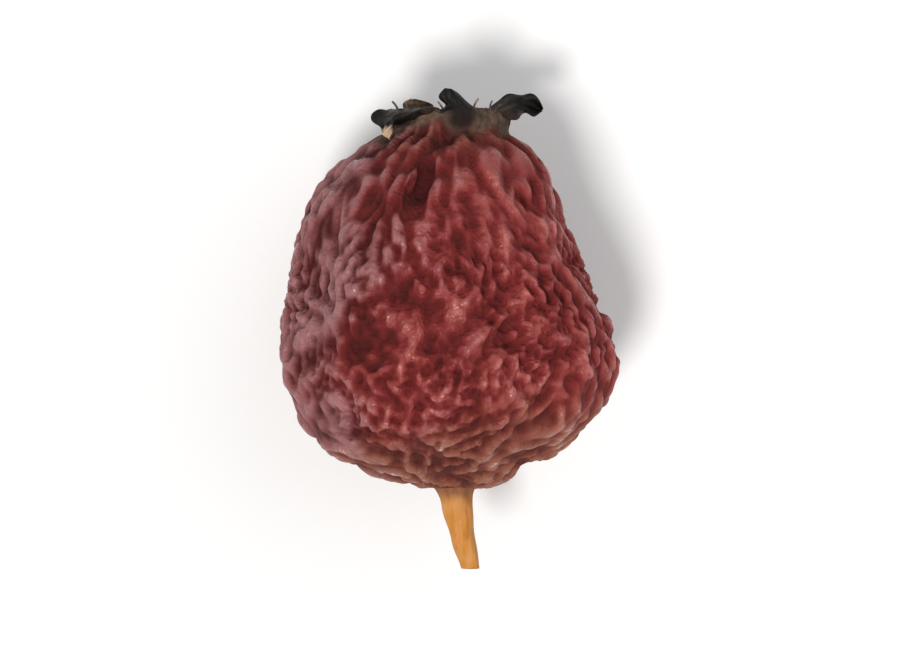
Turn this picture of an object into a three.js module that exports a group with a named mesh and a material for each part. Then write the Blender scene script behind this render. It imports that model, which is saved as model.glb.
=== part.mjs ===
// A dried hawthorn berry, picked and lying on its side: the fruit with its stem stub, the five sepals of
// the calyx crown, and the withered style in the cup. Millimetres, +Z up.
//
// The fruit's axis lies along +Y. A place on it is given by its station, which is 0 at the stem end and
// grows towards the calyx, and by an angle about the axis, which is 0 at +X and 90 degrees at +Z.

import * as THREE from 'three';

const { degToRad, lerp, smoothstep } = THREE.MathUtils;

// ---------------------------------------------------------------- driving dimensions, mm and degrees

const FLAT_SPOT_DEPTH = 0.1; // how much the flat spot that it dried on takes off the underside

// The lying fruit's height over its width: it is flattened at its widest, and fuller towards the calyx.
const SECTION = { widest: 0.93, shoulder: 1.05, from: 3.2, to: 6 };

const SEAT = { radius: 0.5, station: 0.1 }; // flat scar at the stem end, which carries the stem
const RIM = { outer: 1.45, inner: 1.1, station: 8.62 }; // flat top of the collar that carries the sepals
// Hollow inside the collar. Its wall goes straight down from this share of its depth.
const CUP = { radius: 0.98, floor: 7.55, corner: 0.3, lip: 0.4 };

// The skin's outline, as [radius, station] from the stem's seat to the rim: broad and blunt at the stem
// end, widest at two fifths of its length, narrower to the calyx, where a short upright collar ends it.
const SKIN_OUTLINE = [
    [SEAT.radius, SEAT.station],
    [0.85, 0.04],
    [1.62, 0.3],
    [2.62, 0.82],
    [3.38, 1.5],
    [3.8, 2.4],
    [3.9, 3.25],
    [3.72, 4.2],
    [3.4, 5.2],
    [3.08, 6.3],
    [2.64, 7.25],
    [2.1, 7.85],
    [1.64, 8.16],
    [1.47, 8.32],
    [RIM.outer, RIM.station],
];

// How far the axis strays from a straight line. At the stem end the seat lies to one side of the blunt
// end, and towards the calyx the axis bends sideways and down to the surface that it lies on.
const SEAT_LEAN = { seatSide: 0.1, side: -0.24, blunt: 0.45, from: 0.8, to: 2.1 };
const LEAN = { side: -0.34, down: -0.2, from: 3, to: 6.3, ringSide: -0.05 };

// Shrinkage folds: waves around the axis that wander along it.
const FOLD_WANDER = 0.9;
const FOLDS = [
    { depth: 0.065, around: 9, along: 0.35, phase: 0.6, wander: 1.3 },
    { depth: 0.05, around: 5, along: -0.8, phase: 2.1, wander: 0.5 },
    { depth: 0.03, around: 14, along: 0.5, phase: 4.2, wander: 1.7 },
];

// Hollows where the flesh sank: angle and station of the middle, reach across and along the axis, depth.
const HOLLOWS = [
    { angle: 115, station: 3.4, across: 0.75, along: 0.42, depth: 0.24 },
    { angle: 92, station: 4.0, across: 0.4, along: 0.35, depth: 0.14 },
    { angle: 98, station: 7.0, across: 0.17, along: 0.5, depth: 0.3 },
    { angle: 138, station: 6.0, across: 0.2, along: 0.8, depth: 0.22 },
    { angle: 64, station: 3.6, across: 1.1, along: 0.3, depth: 0.08 },
    { angle: 8, station: 4.8, across: 1.6, along: 0.9, depth: 0.07 },
    { angle: 80, station: 0.66, across: 0.4, along: 0.32, depth: 0.12 },
    { angle: 205, station: 3.0, across: 0.8, along: 0.9, depth: 0.2 },
    { angle: 320, station: 5.4, across: 0.7, along: 1.1, depth: 0.22 },
    { angle: 345, station: 1.9, across: 0.6, along: 0.6, depth: 0.16 },
    { angle: 238, station: 6.4, across: 0.5, along: 0.8, depth: 0.18 },
];

// Folds and hollows start at opens and end at closes, by station, and folds need a radius of folded.
const RELIEF = { opens: [0.12, 0.5], closes: [7.4, 8.3], folded: [0.6, 3] };

// The stem's radii, how far along it two of them are, and how far it sweeps sideways and up.
const STEM = { length: 1.93, base: 0.45, collar: 0.36, middle: 0.3, tip: 0.21 };
const STEM_AT = { collar: 0.16, middle: 0.5 };
const STEM_SWEEP = { side: 0.4, rise: 0.12, power: 1.3 };

// Each sepal stands on the ring at its own angle. It curls outwards by curl degrees from its foot to its
// tip, early along its length where late is under 1. Its tip drifts sideways, and twist turns it about
// its own length.
const SEPAL_FOOT = { radius: 1.29, thickness: 0.3 };
const SEPAL_TIP = { halfWidth: 0.03, thickness: 0.08, from: 0.9 };
const SEPAL_OUTLINE = { belly: 2.4, point: 0.9 };
const SEPAL_MARGIN = 0.08; // keeps the margins from a knife edge
const SEPALS = [
    { angle: 352, length: 1.08, halfWidth: 0.56, curl: 102, late: 0.4, drift: 0, twist: 85 },
    { angle: 76, length: 0.68, halfWidth: 0.4, curl: 10, late: 1, drift: 0.3, twist: 15 },
    { angle: 134, length: 0.95, halfWidth: 0.46, curl: 155, late: 0.3, drift: 0, twist: 10 },
    { angle: 232, length: 0.58, halfWidth: 0.6, curl: 12, late: 1, drift: 0, twist: -10 },
    { angle: 292, length: 0.36, halfWidth: 0.66, curl: 30, late: 1, drift: 0.05, twist: 0 },
];

const STYLE = { seat: 0.52, foot: 0.47, neck: 0.3, head: 0.36, top: 0.12, height: 0.55 };
const STYLE_AT = { neck: 0.4, head: 0.8 };

const COLOURS = {
    skin: 0x7b3a38,
    stem: 0xc0813b,
    sepal: 0x8a6452,
    style: 0x9a8672,
};

// ---------------------------------------------------------------- facets

const FRUIT_SIDES = 72;
const SKIN_STEPS = 38;
const RIM_STEPS = 2;
const CUP_STEPS = 6;
const STEM_SIDES = 16;
const STEM_STEPS = 9;
const SEPAL_STEPS = 12;
const SEPAL_STRIPS = 6;
const STYLE_SIDES = 14;
const STYLE_STEPS = 8;

// ---------------------------------------------------------------- helpers

// A closed solid through rings of equally many points, each ring running the same way about the direction
// from the first ring to the last. Both ends are closed by a fan around the ring's middle.
function loft(rings) {
    const sides = rings[0].length;
    const points = rings.flat();
    const faces = [];
    for (let ring = 0; ring + 1 < rings.length; ring += 1) {
        for (let side = 0; side < sides; side += 1) {
            const next = (side + 1) % sides;
            const a = ring * sides + side;
            const b = ring * sides + next;
            faces.push(a, b, b + sides, a, b + sides, a + sides);
        }
    }
    const last = (rings.length - 1) * sides;
    const ends = [[0, true], [last, false]];
    for (const [start, first] of ends) {
        const middle = new THREE.Vector3();
        for (let side = 0; side < sides; side += 1) {
            middle.addScaledVector(points[start + side], 1 / sides);
        }
        points.push(middle);
        for (let side = 0; side < sides; side += 1) {
            const a = start + side;
            const b = start + ((side + 1) % sides);
            faces.push(points.length - 1, ...(first ? [b, a] : [a, b]));
        }
    }
    const geometry = new THREE.BufferGeometry().setFromPoints(points);
    geometry.setIndex(faces);
    geometry.computeVertexNormals();
    return geometry;
}

// A point at a distance from the axis, before the fruit's lean is added.
function around(radius, angle, station) {
    return new THREE.Vector3(radius * Math.cos(angle), station, radius * Math.sin(angle));
}

// A ring about the axis, running so that a loft along +Y has its faces outwards.
function ringAngles(sides) {
    return Array.from({ length: sides }, (_, side) => (-2 * Math.PI * side) / sides);
}

function mesh(name, geometry, colour, roughness) {
    const material = new THREE.MeshStandardMaterial({ color: colour, roughness, metalness: 0 });
    const piece = new THREE.Mesh(geometry, material);
    piece.name = name;
    return piece;
}

// ---------------------------------------------------------------- fruit

function axisAt(station) {
    const blunt = smoothstep(station, SEAT.station, SEAT_LEAN.blunt);
    const stemEnd = 1 - smoothstep(station, SEAT_LEAN.from, SEAT_LEAN.to);
    const bend = smoothstep(station, LEAN.from, LEAN.to);
    const ring = smoothstep(station, LEAN.to, RIM.station);
    const side = stemEnd * lerp(SEAT_LEAN.seatSide, SEAT_LEAN.side, blunt);
    return new THREE.Vector3(side + lerp(LEAN.side * bend, LEAN.ringSide, ring), 0, LEAN.down * bend);
}

function heightOverWidth(station) {
    const shoulder = smoothstep(station, SECTION.from, SECTION.to);
    const ring = smoothstep(station, SECTION.to, RIM.station);
    return lerp(lerp(SECTION.widest, SECTION.shoulder, shoulder), 1, ring);
}

function folds(angle, station) {
    let height = 0;
    for (const fold of FOLDS) {
        const wander = fold.wander * Math.sin(FOLD_WANDER * station + fold.phase);
        height += fold.depth * Math.sin(fold.around * angle + fold.along * station + fold.phase + wander);
    }
    return height;
}

function hollows(angle, station, radius) {
    let depth = 0;
    for (const hollow of HOLLOWS) {
        const turn = angle - degToRad(hollow.angle);
        const apart = Math.atan2(Math.sin(turn), Math.cos(turn)) * radius;
        const away = (apart / hollow.across) ** 2 + ((station - hollow.station) / hollow.along) ** 2;
        depth += hollow.depth * Math.exp(-away);
    }
    return depth;
}

function skinPoint(radius, station, angle) {
    const open = smoothstep(station, ...RELIEF.opens) * (1 - smoothstep(station, ...RELIEF.closes));
    const wide = smoothstep(radius, ...RELIEF.folded);
    const relief = open * (wide * folds(angle, station) - hollows(angle, station, radius));
    const point = around(radius + relief, angle, station);
    point.z *= heightOverWidth(station);
    return point.add(axisAt(station));
}

function fruitRings() {
    const angles = ringAngles(FRUIT_SIDES);
    const outline = new THREE.SplineCurve(SKIN_OUTLINE.map((place) => new THREE.Vector2(...place)));
    const rings = outline.getSpacedPoints(SKIN_STEPS).map(({ x: radius, y: station }) =>
        angles.map((angle) => skinPoint(radius, station, angle)));

    const centre = axisAt(RIM.station);
    const ringOf = (radius, station) => angles.map((angle) => around(radius, angle, station).add(centre));
    for (let step = 1; step <= RIM_STEPS; step += 1) {
        rings.push(ringOf(lerp(RIM.outer, RIM.inner, step / RIM_STEPS), RIM.station));
    }
    rings.push(ringOf(CUP.radius, lerp(RIM.station, CUP.floor, CUP.lip)));
    for (let step = 0; step <= CUP_STEPS; step += 1) {
        const turn = (Math.PI / 2) * (step / CUP_STEPS);
        const inwards = CUP.corner * (1 - Math.cos(turn));
        const down = CUP.corner * (1 - Math.sin(turn));
        rings.push(ringOf(CUP.radius - inwards, CUP.floor + down));
    }
    rings.push(ringOf(STYLE.seat, CUP.floor));
    return rings;
}

// Flattens the underside where the fruit lay while it dried, and returns the height of that flat spot.
function flattenUnderside(geometry) {
    geometry.computeBoundingBox();
    const floor = geometry.boundingBox.min.z + FLAT_SPOT_DEPTH;
    const place = geometry.attributes.position;
    for (let index = 0; index < place.count; index += 1) {
        place.setZ(index, Math.max(place.getZ(index), floor));
    }
    geometry.computeVertexNormals();
    return floor;
}

// ---------------------------------------------------------------- stem, sepals and style

// The stem runs back from its seat, flares at its foot and leans to one side.
function stemRings() {
    const outline = new THREE.SplineCurve([
        new THREE.Vector2(STEM.base, 0),
        new THREE.Vector2(STEM.collar, STEM_AT.collar),
        new THREE.Vector2(STEM.middle, STEM_AT.middle),
        new THREE.Vector2(STEM.tip, 1),
    ]);
    const start = axisAt(SEAT.station);
    return outline.getPoints(STEM_STEPS).map(({ x: radius, y: along }) => {
        const sweep = along ** STEM_SWEEP.power;
        const middle = new THREE.Vector3(
            start.x + STEM_SWEEP.side * sweep,
            SEAT.station - STEM.length * along,
            start.z + STEM_SWEEP.rise * sweep,
        );
        return ringAngles(STEM_SIDES).map((angle) => around(radius, -angle, 0).add(middle));
    });
}

// A sepal is a tapering blade. Each of its sections is a loop, out along its outer face and back along its
// inner one, hollowed towards the axis as the ring is, and flatter the further it curls. Its foot
// lies flat on the ring.
function sepalRings({ angle, length, halfWidth, curl, late, drift, twist }) {
    const turn = degToRad(angle);
    const outwards = new THREE.Vector3(Math.cos(turn), 0, Math.sin(turn));
    const sideways = new THREE.Vector3(-Math.sin(turn), 0, Math.cos(turn));
    const middle = around(SEPAL_FOOT.radius, turn, RIM.station).add(axisAt(RIM.station));
    const rings = [];
    for (let step = 0; step <= SEPAL_STEPS; step += 1) {
        const along = step / SEPAL_STEPS;
        const bent = degToRad(curl) * along ** late;
        const tangent = new THREE.Vector3(0, Math.cos(bent), 0).addScaledVector(outwards, Math.sin(bent));
        const normal = new THREE.Vector3(0, -Math.sin(bent), 0).addScaledVector(outwards, Math.cos(bent));
        const broad = sideways.clone();
        if (step > 0) {
            middle.addScaledVector(tangent, length / SEPAL_STEPS);
            middle.addScaledVector(sideways, (drift * (2 * along - 1 / SEPAL_STEPS)) / SEPAL_STEPS);
            normal.applyAxisAngle(tangent, degToRad(twist) * along);
            broad.applyAxisAngle(tangent, degToRad(twist) * along);
        }
        const width = (1 - along ** SEPAL_OUTLINE.belly) ** SEPAL_OUTLINE.point;
        const half = halfWidth * width + SEPAL_TIP.halfWidth;
        const thick = lerp(SEPAL_FOOT.thickness, SEPAL_TIP.thickness, smoothstep(along, 0, SEPAL_TIP.from));
        const section = [];
        for (const [face, order] of [[0.5, 1], [-0.5, -1]]) {
            for (let strip = 0; strip <= SEPAL_STRIPS; strip += 1) {
                const across = order * ((2 * strip) / SEPAL_STRIPS - 1);
                const edge = Math.sqrt(Math.max(1 - across ** 2, SEPAL_MARGIN));
                const round = (across * half) / SEPAL_FOOT.radius;
                const hollow = SEPAL_FOOT.radius * (1 - Math.cos(round)) * (1 + Math.cos(bent)) / 2;
                section.push(middle.clone()
                    .addScaledVector(broad, SEPAL_FOOT.radius * Math.sin(round))
                    .addScaledVector(normal, face * thick * edge - hollow));
            }
        }
        rings.push(section.reverse());
    }
    return rings;
}

function styleRings() {
    const centre = axisAt(RIM.station);
    const outline = new THREE.SplineCurve([
        new THREE.Vector2(STYLE.foot, 0),
        new THREE.Vector2(STYLE.neck, STYLE_AT.neck * STYLE.height),
        new THREE.Vector2(STYLE.head, STYLE_AT.head * STYLE.height),
        new THREE.Vector2(STYLE.top, STYLE.height),
    ]);
    return outline.getPoints(STYLE_STEPS).map(({ x: radius, y: up }) =>
        ringAngles(STYLE_SIDES).map((angle) => around(radius, angle, CUP.floor + up).add(centre)));
}

// ---------------------------------------------------------------- the berry

const berry = new THREE.Group();
const fruit = loft(fruitRings());
const floor = flattenUnderside(fruit);

berry.add(mesh('fruit', fruit, COLOURS.skin, 0.6));
berry.add(mesh('stem', loft(stemRings()), COLOURS.stem, 0.7));
SEPALS.forEach((sepal, index) => {
    berry.add(mesh(`sepal_${index + 1}`, loft(sepalRings(sepal)), COLOURS.sepal, 0.85));
});
berry.add(mesh('style', loft(styleRings()), COLOURS.style, 0.85));

// The origin is under the middle of the whole berry, on the surface that it lies on.
const reach = new THREE.Box3().setFromObject(berry, true);
const centre = reach.getCenter(new THREE.Vector3());
berry.position.set(-centre.x, -centre.y, -floor);

export default berry;
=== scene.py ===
"""A dried hawthorn berry: the wrinkled fruit, its stem stub, its calyx crown and the withered style.

The file is laid out as an add-on and run as a script. Mesh code works in millimetres, in the frame of the
fruit's own axis, and a mesh is put in its place in metres when it is made. On that axis a place is given by
its station, which is 0 at the stem end and grows towards the calyx, and by an angle, which is 0 at +X and a
quarter turn at +Z.
"""

import math
from collections import namedtuple

import bpy
import numpy as np
from bpy.props import FloatProperty, FloatVectorProperty, IntProperty, PointerProperty
from bpy.types import Operator, Panel, PropertyGroup
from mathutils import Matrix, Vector


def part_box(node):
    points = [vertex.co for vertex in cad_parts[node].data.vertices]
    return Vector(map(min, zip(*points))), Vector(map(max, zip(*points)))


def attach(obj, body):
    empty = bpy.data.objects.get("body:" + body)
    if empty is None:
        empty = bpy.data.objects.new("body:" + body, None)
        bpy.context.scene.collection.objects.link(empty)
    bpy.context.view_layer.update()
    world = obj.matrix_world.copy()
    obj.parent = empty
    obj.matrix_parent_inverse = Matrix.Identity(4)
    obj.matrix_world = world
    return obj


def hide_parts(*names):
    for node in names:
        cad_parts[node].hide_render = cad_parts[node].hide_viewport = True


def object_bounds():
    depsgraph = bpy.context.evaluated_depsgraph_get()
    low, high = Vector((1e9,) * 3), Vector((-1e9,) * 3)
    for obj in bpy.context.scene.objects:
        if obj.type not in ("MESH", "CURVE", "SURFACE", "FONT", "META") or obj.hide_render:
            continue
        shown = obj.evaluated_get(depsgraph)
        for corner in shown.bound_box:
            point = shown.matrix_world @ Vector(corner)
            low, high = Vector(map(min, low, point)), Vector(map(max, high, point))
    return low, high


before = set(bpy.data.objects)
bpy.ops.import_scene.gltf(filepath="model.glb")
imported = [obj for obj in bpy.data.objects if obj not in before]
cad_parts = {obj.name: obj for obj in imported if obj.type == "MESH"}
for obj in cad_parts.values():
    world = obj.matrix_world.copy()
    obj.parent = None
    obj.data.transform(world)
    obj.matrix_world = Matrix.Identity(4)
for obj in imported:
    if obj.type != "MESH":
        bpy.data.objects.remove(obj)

bl_info = {
    "name": "Dried hawthorn berry",
    "version": (1, 0, 0),
    "blender": (4, 5, 0),
    "location": "3D View > Sidebar > Haw",
    "description": "Builds a dried hawthorn berry with its stem stub and calyx crown",
    "category": "Add Mesh",
}

CAD_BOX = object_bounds()
BODY = "root"
MM = 0.001

# ---- the berry's form, mm and degrees

SEAT_STATION = 0.1
RING_STATION = 8.62
RING_OUTER = 1.45
CUP_FLOOR = 7.55

# (radius, station) from the stem's seat to the ring, then over the ring's lip and down into the cup
SKIN_OUTLINE = [
    (0.5, SEAT_STATION), (0.85, 0.04), (1.62, 0.3), (2.62, 0.82), (3.38, 1.5),
    (3.8, 2.4), (3.9, 3.25), (3.72, 4.2), (3.4, 5.2), (3.08, 6.3),
    (2.64, 7.25), (2.1, 7.85), (1.64, 8.16), (1.47, 8.32), (RING_OUTER, RING_STATION),
]
CUP_OUTLINE = [
    (RING_OUTER, RING_STATION), (1.4, 8.74), (1.29, 8.78), (1.15, 8.7), (1.04, 8.4),
    (0.99, 7.9), (0.86, 7.62), (0.5, CUP_FLOOR), (0.0, CUP_FLOOR),
]

# Where the skin climbs the collar, with its width as an angle in radians
SKIN_TONGUE = {"angle": 106, "across": 0.3, "rise": 0.32}

# How far the axis strays in mm, and between which stations: at the blunt stem end, then towards the calyx
STEM_END_LEAN = {"seat": 0.1, "side": -0.24, "blunt": 0.45, "start": 0.8, "end": 2.1}
LEAN = {"side": -0.34, "down": -0.2, "start": 3.0, "end": 6.3, "ring_side": -0.05}
# The body's height over its width, which changes between two stations
SECTION = {"widest": 0.93, "shoulder": 1.05, "start": 3.2, "end": 6.0}

# Waves of a depth in mm, so many round the fruit and so many radians to the mm along it
Fold = namedtuple("Fold", "depth around along phase wander")
FOLDS = [
    Fold(0.065, 9, 0.35, 0.6, 1.3),
    Fold(0.05, 5, -0.8, 2.1, 0.5),
    Fold(0.03, 14, 0.5, 4.2, 1.7),
]
FOLD_WANDER = 0.9

# A dent at an angle in degrees and a station, with its half widths and its depth in mm
Hollow = namedtuple("Hollow", "angle station across along depth")
HOLLOWS = [
    Hollow(115, 3.4, 0.75, 0.42, 0.24),
    Hollow(92, 4.0, 0.4, 0.35, 0.14),
    Hollow(98, 7.0, 0.17, 0.5, 0.3),
    Hollow(138, 6.0, 0.2, 0.8, 0.22),
    Hollow(64, 3.6, 1.1, 0.3, 0.08),
    Hollow(8, 4.8, 1.6, 0.9, 0.07),
    Hollow(80, 0.66, 0.4, 0.32, 0.12),
    Hollow(205, 3.0, 0.8, 0.9, 0.2),
    Hollow(320, 5.4, 0.7, 1.1, 0.22),
    Hollow(345, 1.9, 0.6, 0.6, 0.16),
    Hollow(238, 6.4, 0.5, 0.8, 0.18),
]

# From foot to tip a sepal curls outwards and twists by so many degrees and drifts aside by so many mm. Where
# late is under 1 it curls early. Withered blackens it, and bleached pales its tip
Sepal = namedtuple("Sepal", "node angle length half_width curl late drift twist withered bleached")
SEPAL_FOOT_RADIUS = 1.29
SEPAL_FOOT_STATION = RING_STATION - 0.06
SEPALS = [
    Sepal("sepal_1", 352, 1.08, 0.56, 102, 0.4, 0.0, 85, 1.0, 0.0),
    Sepal("sepal_2", 76, 0.68, 0.4, 10, 1.0, 0.3, 15, 1.3, 0.0),
    Sepal("sepal_3", 134, 0.95, 0.46, 155, 0.3, 0.0, 10, 1.05, 1.0),
    Sepal("sepal_4", 232, 0.58, 0.6, 12, 1.0, 0.0, -10, 0.35, 0.5),
    Sepal("sepal_5", 292, 0.36, 0.66, 30, 1.0, 0.05, 0, 0.1, 0.0),
]

STEM = {"length": 1.93, "base": 0.45, "collar": 0.36, "middle": 0.3, "tip": 0.21, "side": 0.4, "rise": 0.12}
STYLE = {"foot": 0.47, "neck": 0.3, "head": 0.36, "tip": 0.12, "height": 0.55}
STAMENS = {"ring": 1.08, "radius": 0.027, "seed": 7}

# ---- the skin's relief, mm and degrees

FRUIT_CELLS = 128

# The flow that the wrinkles follow strays. Between two stations it is gathered: it loses this share of its
# straying and draws the wrinkles this much longer
FLOW = {"stray": 26, "start": 5.8, "end": 7.4, "straightened": 0.75, "drawn": 0.8}

# The layers of the relief, whose other spacings are settings
SWELLS = {"spacing": 1.3, "rounds": 3, "seed": 42}
TIGHT_WRINKLES = {"rounds": 4, "seed": 3}
WIDE_WRINKLES = {"rounds": 4, "seed": 4}
CREASES = {"rounds": 3, "seed": 5}
WIDE_OVER_TIGHT = 1.6
EVENED_OVER = 0.45

# The relief flattens as it nears its top, and is then lowered to lie evenly about the solid
RELIEF_TOP = 0.09
RELIEF_LOWERED = 0.05

# The mm over which each field of smooth random values changes, and its seed
STRAY_DRIFT = (3.2, 11)
STRETCH_DRIFT = (3.0, 12)
PACE_DRIFT = (2.6, 13)
WIDENESS_DRIFT = (1.8, 14)
STRENGTH_DRIFT = (2.2, 21)
RUMPLE_DRIFT = (0.8, 41)
TISSUE_DRIFT = (0.8, 42)
DUST_DRIFT = (2.4, 43)
STEM_DRIFT = (0.9, 51)
CUT_DRIFT = (0.16, 52)
STYLE_DRIFT = (0.35, 71)
SEPAL_SEED = 60
MARGIN_SIZE = 0.45
BUCKLE_SIZE = 0.9

# ---- the stage, metres and degrees

# Name, direction, strength, softness and colour
LAMPS = [
    ("key", (-0.2, -0.34, 0.88), 2.3, 14, (1.0, 0.985, 0.96)),
    ("fill", (0.62, 0.4, 0.68), 0.6, 60, (0.96, 0.97, 1.0)),
]
WHITE = (1.0, 1.0, 1.0, 1.0)
PAPER_GLOW = 0.14
SKY_LIGHT = 0.36
SKY_SEEN = 0.61
CAMERA_RISE = 0.087


# ---- curves and noise

def smoothstep(value, low, high):
    step = np.clip((value - low) / (high - low), 0, 1)
    return step * step * (3 - 2 * step)


def lerp(low, high, share):
    return low + (high - low) * share


def joined(*parts):
    """Arrays side by side on a new last axis, each stretched to the shape that they share."""
    return np.stack(np.broadcast_arrays(*parts), axis=-1)


def lengths(vectors):
    return np.linalg.norm(vectors, axis=-1, keepdims=True)


def turned(angle, degrees):
    """How far an angle in radians is past one in degrees, between minus and plus half a turn."""
    turn = angle - math.radians(degrees)
    return np.arctan2(np.sin(turn), np.cos(turn))


def spline(points, steps):
    """Points of a smooth curve through the given ones, with this many steps between each two."""
    knots = np.array(points, float)
    share = (np.arange(steps) / steps)[:, None]
    curve = []
    for index in range(len(knots) - 1):
        start, end = knots[index], knots[index + 1]
        before = knots[max(index - 1, 0)]
        after = knots[min(index + 2, len(knots) - 1)]
        leave = (end - before) / 2
        arrive = (after - start) / 2
        cubic = (2 * start - 2 * end + leave + arrive) * share ** 3
        square = (3 * end - 3 * start - 2 * leave - arrive) * share ** 2
        curve.append(cubic + square + leave * share + start)
    curve.append(knots[-1:])
    return np.concatenate(curve)


def drift(points, size, seed, waves=24):
    """Smooth random values over points in space, about -2 to 2, that change over this many mm."""
    random = np.random.default_rng(seed)
    pitch = random.standard_normal((waves, points.shape[-1])) * (2 * np.pi / size) / math.sqrt(3)
    phase = random.uniform(0, 2 * np.pi, waves)
    return np.sin(points @ pitch.T + phase).sum(axis=-1) / math.sqrt(waves / 2)


# ---- the fruit's surface

def axis_at(station):
    """How far the fruit's axis lies to the side and up at a station, in mm."""
    blunt = smoothstep(station, SEAT_STATION, STEM_END_LEAN["blunt"])
    stem_end = 1 - smoothstep(station, STEM_END_LEAN["start"], STEM_END_LEAN["end"])
    bend = smoothstep(station, LEAN["start"], LEAN["end"])
    ring = smoothstep(station, LEAN["end"], RING_STATION)
    side = stem_end * lerp(STEM_END_LEAN["seat"], STEM_END_LEAN["side"], blunt)
    return side + lerp(LEAN["side"] * bend, LEAN["ring_side"], ring), LEAN["down"] * bend


def height_over_width(station):
    """The proportion of the fruit's sections, which are round again at the ring."""
    shoulder = smoothstep(station, SECTION["start"], SECTION["end"])
    ring = smoothstep(station, SECTION["end"], RING_STATION)
    return lerp(lerp(SECTION["widest"], SECTION["shoulder"], shoulder), 1, ring)


def folds(angle, station):
    height = np.zeros_like(angle)
    for fold in FOLDS:
        wander = fold.wander * np.sin(FOLD_WANDER * station + fold.phase)
        height += fold.depth * np.sin(fold.around * angle + fold.along * station + fold.phase + wander)
    return height


def hollows(angle, station, radius):
    depth = np.zeros_like(angle)
    for hollow in HOLLOWS:
        apart = turned(angle, hollow.angle) * radius
        away = (apart / hollow.across) ** 2 + ((station - hollow.station) / hollow.along) ** 2
        depth += hollow.depth * np.exp(-away)
    return depth


def cube_sphere(cells):
    """Directions and quads of a sphere blown up from a cube, with the cube's seams merged."""
    steps = np.arange(cells + 1)
    first, second = np.meshgrid(steps, steps, indexing="ij")
    lattice, quads = [], []
    for axis in range(3):
        for end in (0, cells):
            side = np.empty((cells + 1, cells + 1, 3), int)
            side[..., axis] = end
            side[..., (axis + 1) % 3] = first
            side[..., (axis + 2) % 3] = second
            index = np.arange((cells + 1) ** 2).reshape(cells + 1, cells + 1)
            index += len(lattice) * (cells + 1) ** 2
            loops = joined(index[:-1, :-1], index[1:, :-1], index[1:, 1:], index[:-1, 1:]).reshape(-1, 4)
            quads.append(loops if end else loops[:, ::-1])
            lattice.append(side.reshape(-1, 3))
    lattice = np.concatenate(lattice)
    key = (lattice[:, 0] * (cells + 1) + lattice[:, 1]) * (cells + 1) + lattice[:, 2]
    _, kept, merged = np.unique(key, return_index=True, return_inverse=True)
    corners = np.tan((lattice[kept] / cells * 2 - 1) * np.pi / 4)
    return corners / lengths(corners), merged[np.concatenate(quads)]


Surface = namedtuple("Surface", "place quads along station radius angle past_ring sunk")


def fruit_surface(cells):
    """The fruit without its wrinkles. Equal areas of the sphere become equal areas of the fruit."""
    directions, quads = cube_sphere(cells)
    angle = np.arctan2(directions[:, 2], directions[:, 0])
    skin = spline(SKIN_OUTLINE, 60)
    outline = np.concatenate([[(0, SEAT_STATION)], skin[:-1], spline(CUP_OUTLINE, 60)])
    pieces = np.linalg.norm(np.diff(outline, axis=0), axis=1)
    length = np.concatenate([[0], np.cumsum(pieces)])
    area = np.concatenate([[0], np.cumsum(pieces * (outline[1:, 0] + outline[:-1, 0]))])
    share = (1 + directions[:, 1]) / 2
    run = np.interp(share * area[-1], area, length)
    radius = np.interp(run, length, outline[:, 0])
    station = np.interp(run, length, outline[:, 1])
    past_ring = run - length[len(skin)]
    on_skin = past_ring < 0

    opened = smoothstep(station, 0.12, 0.5) * (1 - smoothstep(station, 7.4, 8.3)) * on_skin
    sunk = opened * hollows(angle, station, radius)
    relief = opened * smoothstep(radius, 0.6, 3) * folds(angle, station) - sunk
    side, up = axis_at(np.where(on_skin, station, RING_STATION))
    squash = np.where(on_skin, height_over_width(station), 1)
    reach = radius + relief
    place = joined(reach * np.cos(angle) + side, station, reach * np.sin(angle) * squash + up)

    outwards = np.interp(run, length, np.gradient(outline[:, 0], length))
    onwards = np.interp(run, length, np.gradient(outline[:, 1], length))
    along = joined(np.cos(angle) * outwards, onwards, np.sin(angle) * outwards)
    along /= lengths(along) + 1e-9
    return Surface(place, quads, along, station, radius, angle, past_ring, sunk)


def point_normals(place, quads):
    """Unit normals at the points of a mesh of quads."""
    corners = place[quads]
    facing = np.cross(corners[:, 2] - corners[:, 0], corners[:, 3] - corners[:, 1])
    normal = np.empty_like(place)
    for axis in range(3):
        shares = (np.bincount(quads[:, corner], facing[:, axis], len(place)) for corner in range(4))
        normal[:, axis] = sum(shares)
    return normal / (lengths(normal) + 1e-12)


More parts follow.
